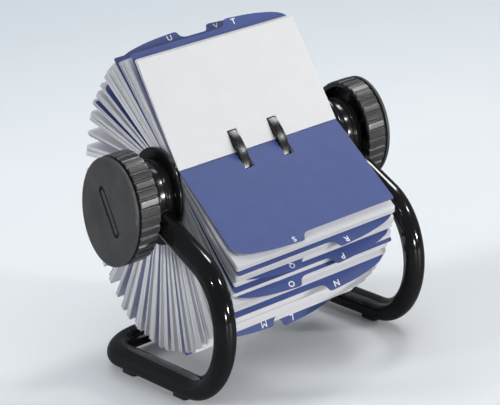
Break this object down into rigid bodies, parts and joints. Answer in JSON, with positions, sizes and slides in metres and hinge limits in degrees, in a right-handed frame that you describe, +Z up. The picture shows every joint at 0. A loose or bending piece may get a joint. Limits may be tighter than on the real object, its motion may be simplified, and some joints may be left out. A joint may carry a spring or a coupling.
{
  "type": "rotary card file",
  "caption": "Desktop rotary card file: bent tube stand, two ribbed knobs and a rotor whose T-section rings carry slotted cards and tabbed dividers.",
  "frame": {"origin": "on the desk plane, straight below the middle of the rotor axis, which is also the middle of the overall box", "axes": "+X right as seen by the user, -Y towards the user, +Z up; the rotor axis is parallel to X"},
  "size_m": [0.164, 0.1677, 0.1713],
  "materials": {
    "tube_paint": "gloss black stove enamel",
    "hub_plastic": "moulded gloss black",
    "knob_plastic": "fine-grained matte black",
    "ring_plastic": "moulded semi-gloss black",
    "bush_plastic": "natural acetal",
    "steel": "zinc plated",
    "rubber": "soft black",
    "card_stock": "uncoated white index stock",
    "divider_stock": "periwinkle blue coated board"
  },
  "bodies": {
    "stand": {"frame_tube": "tube_paint", "rubber_feet": "rubber", "right_hub_housing": "hub_plastic", "left_hub_housing": "hub_plastic", "right_hub_cover": "hub_plastic", "left_hub_cover": "hub_plastic", "right_cover_screws": "steel", "left_cover_screws": "steel", "tube_lock_screws": "steel", "right_bush": "bush_plastic", "left_bush": "bush_plastic"},
    "rotor": {"spindle": "steel", "left_card_ring": "ring_plastic", "right_card_ring": "ring_plastic", "centre_spacer": "ring_plastic", "left_spacer": "ring_plastic", "right_spacer": "ring_plastic", "thrust_washers": "bush_plastic", "retaining_clips": "steel", "friction_washers": "rubber", "right_knob": "knob_plastic", "left_knob": "knob_plastic", "right_knob_cap": "knob_plastic", "left_knob_cap": "knob_plastic", "knob_screws": "steel", "front_divider": "divider_stock", "index_dividers": "divider_stock", "card_pack_1": "card_stock", "card_pack_2": "card_stock", "card_pack_3": "card_stock", "card_pack_4": "card_stock", "card_pack_5": "card_stock", "card_pack_6": "card_stock", "card_pack_7": "card_stock", "card_pack_8": "card_stock"},
    "flip_card": {"flip_card": "card_stock"},
    "second_card": {"second_card": "card_stock"},
    "tab_divider": {"tab_divider": "divider_stock"}
  },
  "joints": [
    {"name": "rotor_spin", "type": "hinge", "parent": "stand", "child": "rotor", "pos_m": [0, 0, 0.096], "axis": [1, 0, 0], "continuous": true},
    {"name": "card_flip", "type": "hinge", "parent": "rotor", "child": "flip_card", "pos_m": [0, -0.0196, 0.1124], "axis": [1, 0, 0], "range_deg": [0, 150]},
    {"name": "second_card_flip", "type": "hinge", "parent": "rotor", "child": "second_card", "pos_m": [0, -0.01805, 0.11331], "axis": [1, 0, 0], "range_deg": [0, 100]},
    {"name": "tab_divider_flip", "type": "hinge", "parent": "rotor", "child": "tab_divider", "pos_m": [0, -0.01334, 0.1179], "axis": [1, 0, 0], "range_deg": [0, 50]}
  ],
  "couplings": [
    {"joint": "second_card_flip", "follows": "card_flip", "ratio": 0.66666},
    {"joint": "tab_divider_flip", "follows": "card_flip", "ratio": 0.33333}
  ]
}
